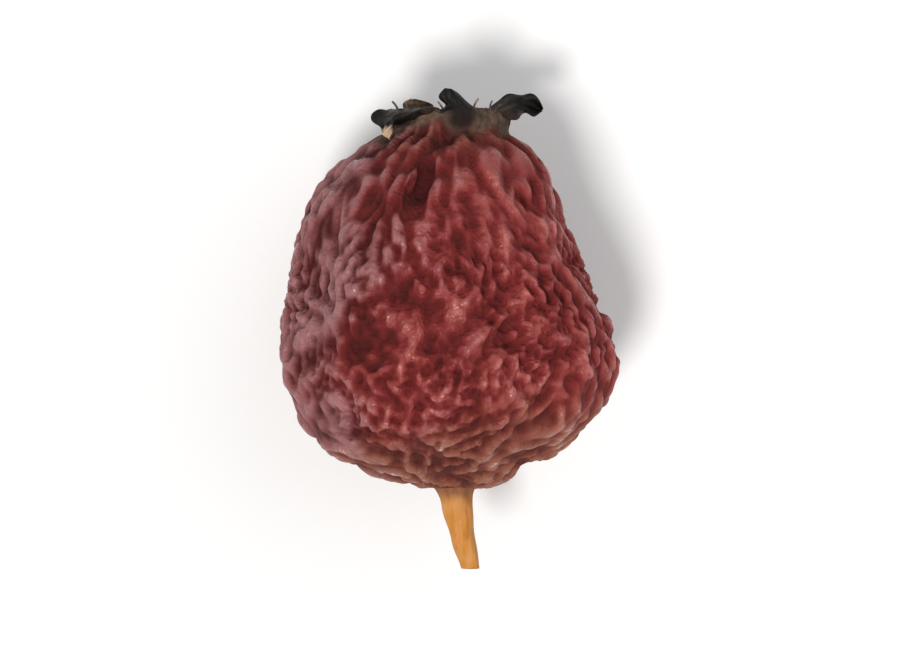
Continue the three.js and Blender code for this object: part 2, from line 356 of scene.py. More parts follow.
class Spreading:
    """Spreads values over a surface as heat spreads, further along its flow than across it."""

    def __init__(self, surface, flow, stretch, pace):
        # Each quad is cut along both of its diagonals, so that neither is favoured
        cuts = ([0, 1, 2], [0, 2, 3], [1, 2, 3], [1, 3, 0])
        faces = np.concatenate([surface.quads[:, cut] for cut in cuts])
        count = len(surface.place)
        flat = self._laid_flat(surface.place[faces], flow[faces], stretch[faces])
        start, end, weight, mass = self._links(faces, flat, count)

        # Each point's neighbours, one to a row, and the share of each that it takes in one step
        valence = np.bincount(start, minlength=count)
        slot = np.arange(len(start)) - np.repeat(np.cumsum(valence) - valence, valence)
        self.near = np.tile(np.arange(count), (valence.max(), 1))
        self.near[slot, start] = end
        share = np.zeros((valence.max(), count))
        share[slot, start] = weight / mass[start] * pace[start]

        # The longest step that nearly all points can take, with the rest held back to it
        self.step = 0.8 / np.percentile(share.sum(axis=0), 98)
        share *= self.step
        share /= np.maximum(share.sum(axis=0) / 0.9, 1)
        self.share = share.astype(np.float32)
        self.keep = 1 - self.share.sum(axis=0)

    def _laid_flat(self, corners, flow, stretch):
        """Triangles in two dimensions, ahead with the flow and aside, shortened along the flow."""
        facing = np.cross(corners[:, 1] - corners[:, 0], corners[:, 2] - corners[:, 0])
        facing /= lengths(facing)
        ahead = flow.mean(axis=1)
        ahead -= facing * (ahead * facing).sum(axis=1, keepdims=True)
        ahead /= lengths(ahead) + 1e-12
        aside = np.cross(facing, ahead)
        shrink = 1 / stretch.mean(axis=1)[:, None]
        return joined((corners * ahead[:, None]).sum(axis=2) * shrink, (corners * aside[:, None]).sum(axis=2))

    def _links(self, faces, flat, count):
        """The start, end and cotangent weight of each edge, both ways, and each point's share of the area."""
        first = flat[:, 1] - flat[:, 0]
        second = flat[:, 2] - flat[:, 0]
        twice_area = np.abs(first[:, 0] * second[:, 1] - first[:, 1] * second[:, 0])
        mass = np.zeros(count)
        starts, ends, weights = [], [], []
        for corner in range(3):
            one, other = (corner + 1) % 3, (corner + 2) % 3
            left = flat[:, one] - flat[:, corner]
            right = flat[:, other] - flat[:, corner]
            weight = np.clip((left * right).sum(axis=1) / (twice_area + 1e-12), 0, 10) / 4
            starts += [faces[:, one], faces[:, other]]
            ends += [faces[:, other], faces[:, one]]
            weights += [weight, weight]
            mass += np.bincount(faces[:, corner], twice_area / 12, count)
        pairs, found = np.unique(np.concatenate(starts) * count + np.concatenate(ends), return_inverse=True)
        return pairs // count, pairs % count, np.bincount(found, np.concatenate(weights)), mass

    def spread(self, values, reach):
        """The values blurred over this reach in mm."""
        for _ in range(max(1, round(reach ** 2 / (2 * self.step)))):
            blurred = self.keep * values
            for share, near in zip(self.share, self.near):
                blurred += share * values[near]
            values = blurred
        return values

    def wrinkles(self, spacing, rounds, seed, sharpness=0.95):
        """Ridges and furrows this far apart, -1 to 1. Each round lets near points join and far ones part.
        A blur less its own blur is strongest for waves of this spacing."""
        reach = spacing / (2 * np.pi) * math.sqrt(2 * math.log(2))
        values = np.random.default_rng(seed).standard_normal(len(self.keep)).astype(np.float32)
        for _ in range(rounds):
            near = self.spread(values, reach)
            contrast = near - self.spread(near, reach)
            values = np.tanh(sharpness * contrast / contrast.std())
        values = self.spread(values, reach / 2)
        return np.clip(values / np.percentile(np.abs(values), 99), -1, 1)

    def evened(self, values, reach):
        """The values with the same contrast everywhere, judged over this reach in mm."""
        return np.clip(0.5 * values / np.sqrt(self.spread(values ** 2, reach)), -1, 1)


def crested(values, sharpness):
    """Wrinkles whose ridges are narrower than the furrows between them, where sharpness is over 1."""
    return 2 * ((values + 1) / 2) ** sharpness - 1


# ---- meshes

def frame_shift():
    """What moves the berry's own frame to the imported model's, in mm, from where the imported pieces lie."""
    side, up = axis_at(RING_STATION)
    low, high = (np.array(corner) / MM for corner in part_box("style"))
    middle = (low + high) / 2
    stem_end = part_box("stem")[0].y / MM
    return np.array([middle[0] - side, stem_end + STEM["length"] - SEAT_STATION, middle[2] - up])


SHIFT = frame_shift()


def put(name, data):
    """A new object with this data, in the scene."""
    item = bpy.data.objects.new(name, data)
    bpy.context.collection.objects.link(item)
    return item


def make_piece(name, place, faces, material, values):
    """A smooth mesh object of points in mm, with a float attribute for each named set of values."""
    mesh = bpy.data.meshes.new(name)
    mesh.from_pydata((place + SHIFT) * MM, [], faces)
    mesh.validate()
    for label, numbers in values.items():
        attribute = mesh.attributes.new(label, "FLOAT", "POINT")
        attribute.data.foreach_set("value", np.asarray(numbers, np.float32))
    mesh.shade_smooth()
    mesh.materials.append(material)
    return put(name, mesh)


def stand_for(piece, node):
    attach(piece, BODY)
    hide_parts(node)


# ---- materials

class Value:
    """An output of a node. Arithmetic on it adds Math nodes."""

    def __init__(self, nodes, socket):
        self.nodes = nodes
        self.socket = socket

    def _math(self, operation, first, second):
        return self.nodes.add("ShaderNodeMath", {0: first, 1: second}, operation=operation)

    def __add__(self, other):
        return self._math("ADD", self, other)

    def __radd__(self, other):
        return self._math("ADD", other, self)

    def __sub__(self, other):
        return self._math("SUBTRACT", self, other)

    def __rsub__(self, other):
        return self._math("SUBTRACT", other, self)

    def __mul__(self, other):
        return self._math("MULTIPLY", self, other)

    def __rmul__(self, other):
        return self._math("MULTIPLY", other, self)


class Nodes:
    """The nodes of one tree."""

    def __init__(self, tree):
        self.tree = tree

    def add(self, kind, inputs, output=0, **settings):
        """Adds a node of this type and gives the output of it that is used, where it has one."""
        node = self.tree.nodes.new(kind)
        for name, setting in settings.items():
            setattr(node, name, setting)
        for name, value in inputs.items():
            if isinstance(value, Value):
                self.tree.links.new(value.socket, node.inputs[name])
            else:
                node.inputs[name].default_value = value
        return Value(self, node.outputs[output]) if len(node.outputs) else None

    def attributes(self, *names):
        return [self.add("ShaderNodeAttribute", {}, "Fac", attribute_name=name) for name in names]

    def millimetres(self):
        """The place on the piece, in mm."""
        place = self.add("ShaderNodeTexCoord", {}, "Object")
        return self.scaled(place, (1 / MM,) * 3)

    def scaled(self, vector, factors):
        return self.add("ShaderNodeVectorMath", {0: vector, 1: factors}, operation="MULTIPLY")

    def noise(self, place, grain, detail=2.0, roughness=0.5, distortion=0.0):
        """Noise with this many grains to the unit of its place. The node's own values lie mostly within a
        quarter of 0.5, and so these within 1 of 0."""
        inputs = {"Vector": place, "Scale": grain, "Detail": detail, "Roughness": roughness,
                  "Distortion": distortion}
        return self.add("ShaderNodeTexNoise", inputs, "Fac") * 4 - 2

    def between(self, value, low, high):
        """0 at low and beyond, 1 at high and beyond, and smooth between them. Low may be the larger."""
        inputs = {"Value": value, "From Min": low, "From Max": high}
        return self.add("ShaderNodeMapRange", inputs, interpolation_type="SMOOTHSTEP")

    def mixed(self, share, first, second):
        return self.add("ShaderNodeMix", {0: share, 6: first, 7: second}, 2, data_type="RGBA")

    def ramp(self, value, stops):
        """A colour by a value of 0 to 1, from stops that are pairs of value and colour."""
        ramped = self.add("ShaderNodeValToRGB", {"Fac": value}, "Color")
        elements = ramped.socket.node.color_ramp.elements
        for index, (place, colour) in enumerate(stops):
            stop = elements[index] if index < len(elements) else elements.new(place)
            stop.position = place
            stop.color = colour
        return ramped

    def bump(self, height, distance):
        """A normal bent by a height of -1 to 1, whose size is given in mm."""
        return self.add("ShaderNodeBump", {"Strength": 1.0, "Distance": distance * MM, "Height": height})


def new_material(name):
    """An empty material and its nodes."""
    material = bpy.data.materials.new(name)
    material.use_nodes = True
    material.node_tree.nodes.clear()
    return material, Nodes(material.node_tree)


def finish_surface(nodes, colour, roughness, normal, specular):
    """Wires a surface to the material's output."""
    inputs = {"Base Color": colour, "Roughness": roughness, "Normal": normal, "Specular IOR Level": specular}
    shader = nodes.add("ShaderNodeBsdfPrincipled", inputs)
    nodes.add("ShaderNodeOutputMaterial", {"Surface": shader})


def paint(red, green, blue):
    """A colour for a node or a property, from its usual 0 to 255 values."""
    shares = [channel / 255 for channel in (red, green, blue)]
    linear = [share / 12.92 if share <= 0.04045 else ((share + 0.055) / 1.055) ** 2.4 for share in shares]
    return (*linear, 1.0)


def skin_material(colours):
    """Dried skin: deep clear red furrows with painted shade under paler ridges with a painted highlight, pale
    with bloom in places and with painted sheen towards -X, brown towards its ends, and with pale flakes that
    are partly painted glints on the ridges.
    """
    material, nodes = new_material("dried skin")
    place = nodes.millimetres()
    height, tissue, black, dust_sheen_level, ends = nodes.attributes("height", "tissue", "scorched", "dust_sheen_level", "ends")
    mottle = nodes.noise(place, 1.3, 3.0)
    grain = nodes.noise(place, 7.0, 3.0, 0.6)
    clouds = nodes.noise(place, 0.32, 1.0)

    # Painted light: this level darkens the furrows and hollows into painted shade and makes the tops of the
    # ridges pale as a painted highlight.
    level = height * 0.5 + 0.57 + mottle * 0.07 + grain * 0.06 - dust_sheen_level * 0.17
    skin = nodes.ramp(level, [
        (0.0, colours.furrow_with_painted_shade), (0.3, paint(98, 24, 22)),
        (0.52, colours.skin), (0.8, colours.ridge_with_painted_highlight),
        (1.0, paint(182, 100, 92)),
    ])
    # Pale bloom with painted sheen, most on the ridges and along the -X side.
    dust_and_sheen = nodes.between(dust_sheen_level + clouds * 0.15 + height, 0.7, 2.2) * 0.75
    skin = nodes.mixed(dust_and_sheen, skin, colours.dust_and_sheen)
    browned = nodes.between(ends + mottle * 0.16 + height * 0.12, 0.45, 1.2)
    # Painted shade: the brown is darker in the furrows.
    brown = nodes.mixed(nodes.between(height, -0.7, 0.6), paint(72, 36, 26), colours.browned)
    skin = nodes.mixed(browned * 0.8, skin, brown)
    # Pale flakes: real flakes towards the ends, and painted glints on the tops of the ridges.
    scurf_and_painted_glint = nodes.between(nodes.noise(place, 3.6, 4.0, 0.7) + height * 0.5 + ends * 0.4, 1.05, 1.45)
    skin = nodes.mixed(scurf_and_painted_glint * 0.75, skin, colours.scurf_and_painted_glint)
    dried = nodes.ramp(nodes.noise(place, 2.4, 4.0, 0.65) * 0.3 + 0.5, [
        (0.0, paint(30, 20, 17)), (0.35, paint(72, 54, 46)),
        (0.7, paint(108, 88, 74)), (1.0, paint(158, 134, 112)),
    ])
    blackened = nodes.between(black + mottle * 0.2, 0.1, 1.0) * 0.9
    dried = nodes.mixed(blackened, dried, colours.sepal_tip)
    colour = nodes.mixed(tissue, skin, dried)
    roughness = 0.86 - nodes.between(height, -0.3, 0.7) * 0.6 + grain * 0.05 + tissue * 0.3
    relief = nodes.noise(place, 4.5, 1.0, 0.5, 0.6) * 0.7 + nodes.noise(place, 11.0, 0.5) * 0.3
    finish_surface(nodes, colour, roughness, nodes.bump(relief, 0.035), 0.3)
    return material


def sepal_material(colours):
    """Papery dried leaf: veined, tan to olive grey, and nearly black where it has withered most."""
    material, nodes = new_material("dried sepal")
    place = nodes.millimetres()
    reach, across, outer, withered, pale_tip = nodes.attributes(
        "reach", "across", "outer", "withered", "bleached")
    blade = nodes.add("ShaderNodeCombineXYZ", {"X": across * 5.0, "Y": reach * 1.4, "Z": withered * 20.0})
    veins = nodes.noise(blade, 1.0, 2.0)
    mottle = nodes.noise(place, 2.2, 4.0, 0.6)
    grain = nodes.noise(place, 9.0, 2.0)

    pale_inside = nodes.between(veins + grain * 0.5, -1.2, 1.2)
    inner_side = nodes.mixed(pale_inside, paint(62, 46, 38), colours.sepal_inside)
    pale_outside = nodes.between(veins + mottle, -1.2, 1.4)
    outer_side = nodes.mixed(pale_outside, paint(78, 54, 44), colours.sepal)
    colour = nodes.mixed(nodes.between(outer, -0.2, 0.2), inner_side, outer_side)
    foot = nodes.between(reach + mottle * 0.08, 0.3, 0.02)
    colour = nodes.mixed(foot * 0.6, colour, paint(84, 58, 48))
    burnt = nodes.between(reach * 0.55 + withered + mottle * 0.3 + veins * 0.12, 0.55, 1.25)
    colour = nodes.mixed(burnt, colour, colours.sepal_tip)
    bleached = nodes.between(reach + mottle * 0.06, 0.72, 0.9) * pale_tip
    colour = nodes.mixed(bleached, colour, paint(206, 178, 146))
    roughness = 0.72 + grain * 0.06 - burnt * 0.2
    relief = veins * 0.5 + mottle * 0.3 + grain * 0.25
    finish_surface(nodes, colour, roughness, nodes.bump(relief, 0.02), 0.15)
    return material


def stem_material(colours):
    """Ochre bark fibres, darker round the foot, pale where the stem was cut."""
    material, nodes = new_material("stem bark")
    place = nodes.millimetres()
    reach, cut = nodes.attributes("reach", "cut")
    fibres = nodes.noise(nodes.scaled(place, (6.0, 0.9, 6.0)), 1.0, 3.0, 0.6)
    mottle = nodes.noise(place, 2.0, 3.0)
    colour = nodes.ramp(fibres * 0.22 + mottle * 0.14 + 0.5, [
        (0.0, paint(140, 84, 40)), (0.4, colours.stem),
        (0.75, paint(208, 152, 92)), (1.0, paint(224, 186, 142)),
    ])
    collar = nodes.between(reach + mottle * 0.05 + fibres * 0.03, 0.26, 0.04)
    colour = nodes.mixed(collar * 0.8, colour, paint(112, 66, 46))
    pale_pith = nodes.between(nodes.noise(place, 8.0, 3.0), -0.8, 1.0)
    pith = nodes.mixed(pale_pith, paint(140, 98, 62), paint(214, 182, 142))
    colour = nodes.mixed(cut, colour, pith)
    roughness = 0.62 + fibres * 0.05
    finish_surface(nodes, colour, roughness, nodes.bump(fibres * 0.7 + mottle * 0.3, 0.025), 0.35)
    return material


def style_material(colours):
    """Withered style and filaments: grey tan, with painted shade in the creases of its bump."""
    material, nodes = new_material("withered style")
    place = nodes.millimetres()
    mottle = nodes.noise(place, 3.2, 4.0, 0.65)
    # The same noise drives the bump, so the dark end of this ramp paints shade into its creases.
    colour = nodes.ramp(mottle * 0.25 + 0.5, [
        (0.0, paint(58, 38, 30)), (0.5, colours.style),
        (1.0, paint(184, 160, 134)),
    ])
    finish_surface(nodes, colour, 0.8 + mottle * 0.05, nodes.bump(mottle, 0.02), 0.3)
    return material


def seen_rays(nodes):
    """1 on rays by which the camera, a gloss or a clear thing sees a surface, 0 on those that light it."""
    camera, glossy, through = (nodes.add("ShaderNodeLightPath", {}, "Is " + ray + " Ray")
                               for ray in ("Camera", "Glossy", "Transmission"))
    return camera + glossy + through


def floor_material():
    """White paper that keeps the berry's shadow. The camera and reflections see it a little brighter."""
    material, nodes = new_material("white paper")
    paper = nodes.add("ShaderNodeBsdfDiffuse", {"Color": (0.82, 0.82, 0.82, 1.0)})
    glow = nodes.add("ShaderNodeEmission", {"Color": WHITE, "Strength": seen_rays(nodes) * PAPER_GLOW})
    both = nodes.add("ShaderNodeAddShader", {0: paper, 1: glow})
    nodes.add("ShaderNodeOutputMaterial", {"Surface": both})
    return material


# ---- settings

def colour_setting(name, description, red, green, blue):
    return FloatVectorProperty(name=name, description=description, subtype="COLOR", size=4, min=0, max=1,
                               default=paint(red, green, blue))


def length_setting(name, description, millimetres):
    return FloatProperty(name=name, description=description, unit="LENGTH", min=0, precision=5,
                         default=millimetres * MM)


class HawSizes(PropertyGroup):
    swell_depth: length_setting("Swells", "Height of the broad swells under the wrinkles", 0.07)
    wrinkle_depth: length_setting("Wrinkles", "Height of the main wrinkles", 0.085)
    wrinkle_spacing: length_setting("Wrinkle spacing", "From one tight wrinkle to the next", 0.4)
    crease_depth: length_setting("Creases", "Height of the fine creases", 0.03)
    crease_spacing: length_setting("Crease spacing", "From one fine crease to the next", 0.22)
    ragged: FloatProperty(name="Ragged margins", description="How uneven the sepals' margins are",
                          subtype="FACTOR", min=0, max=1, default=0.3)
    stamens: IntProperty(name="Stamens", description="Withered filaments round the ring",
                         min=3, max=40, default=19)
    stamen_length: length_setting("Stamen length", "The longest of the withered filaments", 0.45)


class HawColours(PropertyGroup):
    skin: colour_setting("Skin", "The skin between ridge and furrow", 120, 37, 35)
    # Painted light: the ridges' colour holds a painted highlight and the furrows' colour below it holds
    # painted shade.
    ridge_with_painted_highlight: colour_setting("Ridges", "The tops of the wrinkles", 150, 64, 60)
    furrow_with_painted_shade: colour_setting("Furrows", "The bottoms of the wrinkles", 68, 8, 8)
    # This pale colour also stands for painted sheen towards -X.
    dust_and_sheen: colour_setting("Dust", "The dull bloom on the skin", 160, 110, 112)
    browned: colour_setting("Browned ends", "The skin round the stem and under the crown", 136, 84, 58)
    # These pale flakes also stand for painted glints on the ridges.
    scurf_and_painted_glint: colour_setting("Scurf", "Pale flakes on the skin", 206, 168, 144)
    stem: colour_setting("Stem", "The bark of the stem", 198, 127, 44)
    sepal: colour_setting("Sepals", "The sepals' outer faces", 116, 92, 74)
    sepal_inside: colour_setting("Sepals inside", "The sepals' inner faces", 104, 88, 72)
    sepal_tip: colour_setting("Sepal tips", "Where the sepals have withered most", 13, 8, 8)
    style: colour_setting("Style", "The style and the filaments", 134, 112, 92)


# ---- pieces

Layers = namedtuple("Layers", "swells wrinkles creases")


def relief_layers(surface, sizes):
    """The broad swells, the wrinkles and the fine creases of the skin, each -1 to 1."""
    place, along = surface.place, surface.along
    gathered = smoothstep(surface.station, FLOW["start"], FLOW["end"])
    stray = np.radians(FLOW["stray"]) * (1 - FLOW["straightened"] * gathered) * drift(place, *STRAY_DRIFT)
    around = np.cross(point_normals(place, surface.quads), along)
    flow = along * np.cos(stray)[:, None] + around * np.sin(stray)[:, None]
    lengthened = smoothstep(surface.radius, 0.5, 2.0)
    lengthened *= np.clip(0.55 + 0.4 * drift(place, *STRETCH_DRIFT), 0, 1.2)
    pace = np.exp(0.24 * np.clip(drift(place, *PACE_DRIFT), -2, 2))
    spreading = Spreading(surface, flow, 1 + lengthened + FLOW["drawn"] * gathered, pace)

    swells = spreading.wrinkles(**SWELLS)
    tight = spreading.wrinkles(sizes.wrinkle_spacing / MM, **TIGHT_WRINKLES)
    wide = spreading.wrinkles(WIDE_OVER_TIGHT * sizes.wrinkle_spacing / MM, **WIDE_WRINKLES)
    wideness = smoothstep(drift(place, *WIDENESS_DRIFT), -0.9, 1.5)
    wrinkles = spreading.evened(lerp(tight, wide, wideness), EVENED_OVER)
    creases = spreading.wrinkles(sizes.crease_spacing / MM, **CREASES)
    return Layers(swells, wrinkles, creases)


def skin_relief(surface, layers, sizes):
    """How far the skin stands out, in mm: wrinkled, rumpled over the ring and pleated in the cup."""
    strength = np.clip(1.1 + 0.22 * drift(surface.place, *STRENGTH_DRIFT), 0.7, 1.5)
    relief = sizes.swell_depth / MM * layers.swells
    relief += strength * sizes.wrinkle_depth / MM * crested(layers.wrinkles, 1.7)
    relief += strength * sizes.crease_depth / MM * crested(layers.creases, 1.2)
    relief = np.where(relief > 0, RELIEF_TOP * np.tanh(relief / RELIEF_TOP), relief) - RELIEF_LOWERED
    relief *= smoothstep(surface.radius, 0.45, 1.3) * smoothstep(-surface.past_ring, 0.1, 0.6)

    rumple = drift(surface.place, *RUMPLE_DRIFT)
    near_ring = smoothstep(surface.past_ring, -0.5, -0.1) * (1 - smoothstep(surface.past_ring, 1.3, 1.7))
    relief += near_ring * (0.03 * np.sin(23 * surface.angle + 2 * rumple) + 0.03 * rumple)
    in_cup = smoothstep(surface.past_ring, 1.2, 1.6)
    pleats = 0.04 * np.sin(15 * surface.angle + rumple) * smoothstep(surface.radius, 0.3, 0.7)
    return relief + in_cup * pleats


def height_with_painted_shade(surface, layers):
    """From -1 in the furrows or a hollow to 1 on the ridges. Painted shade lowers it further in the hollows
    and on the shoulder under the crown.
    """
    level = 0.32 * layers.swells + 0.6 * crested(layers.wrinkles, 1.2) + 0.25 * layers.creases
    # Painted shade: the hollows and the shoulder under the crown are pushed darker.
    return np.clip(level - 2.2 * surface.sunk - 0.35 * smoothstep(surface.station, 7.3, 8.2), -1, 1)


def tissue_share(surface, place):
    """0 on the red skin, which has a tongue up the collar, and 1 on the dry tissue of ring and cup."""
    off_tongue = (surface.angle - math.radians(SKIN_TONGUE["angle"])) / SKIN_TONGUE["across"]
    tongue = SKIN_TONGUE["rise"] * np.exp(-off_tongue ** 2)
    return smoothstep(surface.past_ring - tongue + 0.13 * drift(place, *TISSUE_DRIFT), -0.55, -0.15)


def scorched(surface):
    """How black the ring is, 0 to 1: most of all at the feet of the sepals that have withered most."""
    dark = np.zeros(len(surface.place))
    for sepal in SEPALS:
        apart = turned(surface.angle, sepal.angle) * SEPAL_FOOT_RADIUS
        dark += sepal.withered * np.exp(-(apart / (0.75 * sepal.half_width)) ** 2)
    return np.clip(dark, 0, 1) * smoothstep(surface.past_ring, -0.5, -0.15)


def dust_and_painted_sheen(surface, place):
    """How much bloom and painted sheen the skin gets: more under the crown, more towards -X and most along
    the -X side, where the paleness is painted sheen as well as bloom.
    """
    # Painted sheen: the paleness grows towards -X and is strongest along the -X side.
    side = 0.12 * (surface.station - 4.2) ** 2 - place[:, 0]
    patches = 0.38 - place[:, 0] / 7 + 0.2 * drift(place, *DUST_DRIFT)
    return patches + 0.8 * smoothstep(side, 2.2, 3.6) + 0.4 * smoothstep(surface.station, 6.5, 8.2)


def browned_ends(surface, place):
    """How brown the skin is, 0 to 1: round the stem, further up at +X, and under the crown."""
    by_stem = 1 - smoothstep(surface.station - 0.2 * place[:, 0], 0.2, 3.6)
    return np.maximum(by_stem, 0.8 * smoothstep(surface.station, 6.8, 8.2))


def build_fruit(scene):
    surface = fruit_surface(FRUIT_CELLS)
    layers = relief_layers(surface, scene.haw_sizes)
    relief = skin_relief(surface, layers, scene.haw_sizes)
    place = surface.place + point_normals(surface.place, surface.quads) * relief[:, None]
    place[:, 2] = np.maximum(place[:, 2], -SHIFT[2])
    values = {
        # This height carries painted shade in the hollows and under the crown for the colour ramp.
        "height": height_with_painted_shade(surface, layers),
        "tissue": tissue_share(surface, place),
        "scorched": scorched(surface),
        "dust_sheen_level": dust_and_painted_sheen(surface, place),
        "ends": browned_ends(surface, place),
    }
    piece = make_piece("fruit_skin", place, surface.quads, skin_material(scene.haw_colours), values)
    stand_for(piece, "fruit")


def loft(rings):
    """Points and triangles of a closed solid through rings of equally many points. Each end is closed by a
    strip from the ring's first point to its opposite, so an end that curves stays inside its own outline."""
    count, sides = rings.shape[:2]
    index = np.arange(count * sides).reshape(count, sides)
    following = np.roll(index, -1, axis=1)
    walls = [joined(index[:-1], following[:-1], following[1:]), joined(index[:-1], following[1:], index[1:])]
    step = np.arange(sides // 2 - 1)
    strip = np.concatenate([joined(step, step + 1, -step - 1), joined(step + 1, -step - 2, -step - 1)])
    ends = [index[0][strip[:, ::-1] % sides], index[-1][strip % sides]]
    place = rings.reshape(-1, 3)
    faces = np.concatenate([wall.reshape(-1, 3) for wall in walls] + ends)
    corners = place[faces]
    volume = (corners[:, 0] * np.cross(corners[:, 1], corners[:, 2])).sum()
    return place, faces if volume > 0 else faces[:, ::-1]


def circle_angles(sides):
    return np.linspace(0, 2 * np.pi, sides, endpoint=False)


def build_stem(scene, sides=48):
    outline = spline([(STEM["base"], 0), (STEM["collar"], 0.16), (STEM["middle"], 0.5), (STEM["tip"], 1)], 18)
    shrink = np.linspace(1, 0.1, 8)[1:]
    radius = np.concatenate([[STEM["base"] * 1.02], outline[:, 0], STEM["tip"] * shrink])
    along = np.concatenate([[-0.06], outline[:, 1], 1 - 0.025 * (1 - shrink)])
    cut = np.concatenate([np.zeros(len(outline)), [0.5], np.ones(len(shrink))])
    angle = circle_angles(sides)

    side, up = axis_at(SEAT_STATION)
    bend = np.maximum(along, 0) ** 1.3
    station = SEAT_STATION - STEM["length"] * along
    centre = joined(side + STEM["side"] * bend, station, up + STEM["rise"] * bend)
    turn = angle[None, :] + 0.5 * along[:, None]
    foot = 1 - smoothstep(along, 0.02, 0.3)[:, None]
    reach = radius[:, None] * (1 + 0.04 * np.sin(5 * turn + 0.8) + 0.02 * np.sin(11 * turn))
    reach *= 1 + foot * (0.1 * np.sin(7 * turn + 1.0) + 0.05 * np.sin(3 * turn))
    rings = joined(reach * np.cos(angle), 0, reach * np.sin(angle)) + centre[:, None, :]
    rings += 0.012 * drift(rings, *STEM_DRIFT)[..., None] * [1, 0, 1]
    rough_end = 0.02 + 0.012 * drift(rings[-len(shrink):], *CUT_DRIFT)
    rings[-len(shrink):, :, 1] += np.maximum(rough_end, 0)
    place, faces = loft(rings)
    values = {"reach": np.repeat(np.clip(along, 0, 1), sides), "cut": np.repeat(cut, sides)}
    piece = make_piece("stem_stub", place, faces, stem_material(scene.haw_colours), values)
    stand_for(piece, "stem")


def sepal_spine(sepal, along, bent):
    """The middle of each section, and the ways that its breadth and its outer face lie."""
    centre_side, centre_up = axis_at(RING_STATION)
    angle = math.radians(sepal.angle)
    outwards = np.array([math.cos(angle), 0, math.sin(angle)])
    sideways = np.array([-math.sin(angle), 0, math.cos(angle)])
    onwards = np.array([0, 1, 0])
    twist = np.radians(sepal.twist) * along[:, None]
    tangent = onwards * np.cos(bent) + outwards * np.sin(bent)
    flat = outwards * np.cos(bent) - onwards * np.sin(bent)
    normal = flat * np.cos(twist) - sideways * np.sin(twist)
    broad = sideways * np.cos(twist) + flat * np.sin(twist)
    run = np.cumsum(tangent, axis=0) - tangent[0]
    foot = outwards * SEPAL_FOOT_RADIUS + [centre_side, SEPAL_FOOT_STATION, centre_up]
    strayed = sideways * (sepal.drift * along ** 2)[:, None]
    return foot + run * sepal.length / (len(along) - 1) + strayed, broad, normal


def sepal_widths(sepal, ragged, seed, along, across):
    """Half the width at each point: a ragged, pointed blade on a foot that widens into the ring."""
    web = 0.42 * np.exp(-along * sepal.length / 0.14)
    half = sepal.half_width * (1 - along ** 2.4) ** 0.9 + 0.03 + web
    edge = joined(along * sepal.length, 0)
    frayed = ragged * smoothstep(along, 0.15, 0.5)
    right = 1 + frayed * drift(edge, MARGIN_SIZE, seed)
    left = 1 + frayed * drift(edge, MARGIN_SIZE, seed + 1)
    return np.where(across > 0, right[:, None], left[:, None]) * half[:, None]


def sepal_rings(sepal, ragged, seed, steps=60, sides=56):
    """A sepal's sections from its foot to its tip, and the values of their points for its material."""
    along = np.linspace(0, 1, steps + 1)
    bent = (np.radians(sepal.curl) * along ** sepal.late)[:, None]
    middle, broad, normal = sepal_spine(sepal, along, bent)
    turn = circle_angles(sides)
    across, outer = np.cos(turn), np.sin(turn)
    width = sepal_widths(sepal, ragged, seed, along, across)
    reach = along[:, None]

    buckle = drift(joined(across * 0.8, reach * sepal.length), BUCKLE_SIZE, seed + 2)
    round_ring = across * width / SEPAL_FOOT_RADIUS
    hollow = SEPAL_FOOT_RADIUS * (1 - np.cos(round_ring)) * (1 + np.cos(bent)) / 2
    tucked = 0.05 * (1 - smoothstep(reach, 0, 0.3))
    roll = 0.3 * (1 - reach) ** 0.5 * across ** 4 * (0.8 + 0.5 * buckle) * smoothstep(reach, 0, 0.5)
    veins = 0.012 * np.cos(4.5 * np.pi * across) * outer * (1 - reach)
    thick = lerp(0.3, 0.08, smoothstep(reach, 0, 0.9))
    buckled = 0.07 * buckle * smoothstep(reach, 0.1, 0.8)
    lift = 0.5 * thick * outer - hollow - tucked - roll + veins + buckled
    aside = SEPAL_FOOT_RADIUS * np.sin(round_ring)
    rings = middle[:, None, :] + broad[:, None, :] * aside[..., None] + normal[:, None, :] * lift[..., None]
    values = {"reach": reach, "across": across, "outer": outer, "withered": sepal.withered,
              "bleached": sepal.bleached}
    return rings, {label: np.broadcast_to(value, width.shape).ravel() for label, value in values.items()}


def build_sepals(scene):
    material = sepal_material(scene.haw_colours)
    for index, sepal in enumerate(SEPALS):
        rings, values = sepal_rings(sepal, scene.haw_sizes.ragged, SEPAL_SEED + 10 * index)
        place, faces = loft(rings)
        piece = make_piece(sepal.node + "_blade", place, faces, material, values)
        stand_for(piece, sepal.node)


def build_style(scene, sides=36):
    height = STYLE["height"]
    outline = spline([(STYLE["foot"], 0), (STYLE["neck"], 0.4 * height), (STYLE["head"], 0.8 * height),
                      (STYLE["tip"], height)], 10)
    radius = np.concatenate([[STYLE["foot"] * 1.05], outline[:, 0]])
    station = CUP_FLOOR + np.concatenate([[-0.08], outline[:, 1]])
    angle = circle_angles(sides)
    side, up = axis_at(RING_STATION)
    reach = radius[:, None] * (1 + 0.12 * np.cos(3 * angle + 0.4) + 0.05 * np.cos(7 * angle))
    rings = joined(reach * np.cos(angle) + side, station[:, None], reach * np.sin(angle) + up)
    rings += 0.025 * drift(rings, *STYLE_DRIFT)[..., None]
    place, faces = loft(rings)
    piece = make_piece("style_knob", place, faces, style_material(scene.haw_colours), {})
    stand_for(piece, "style")


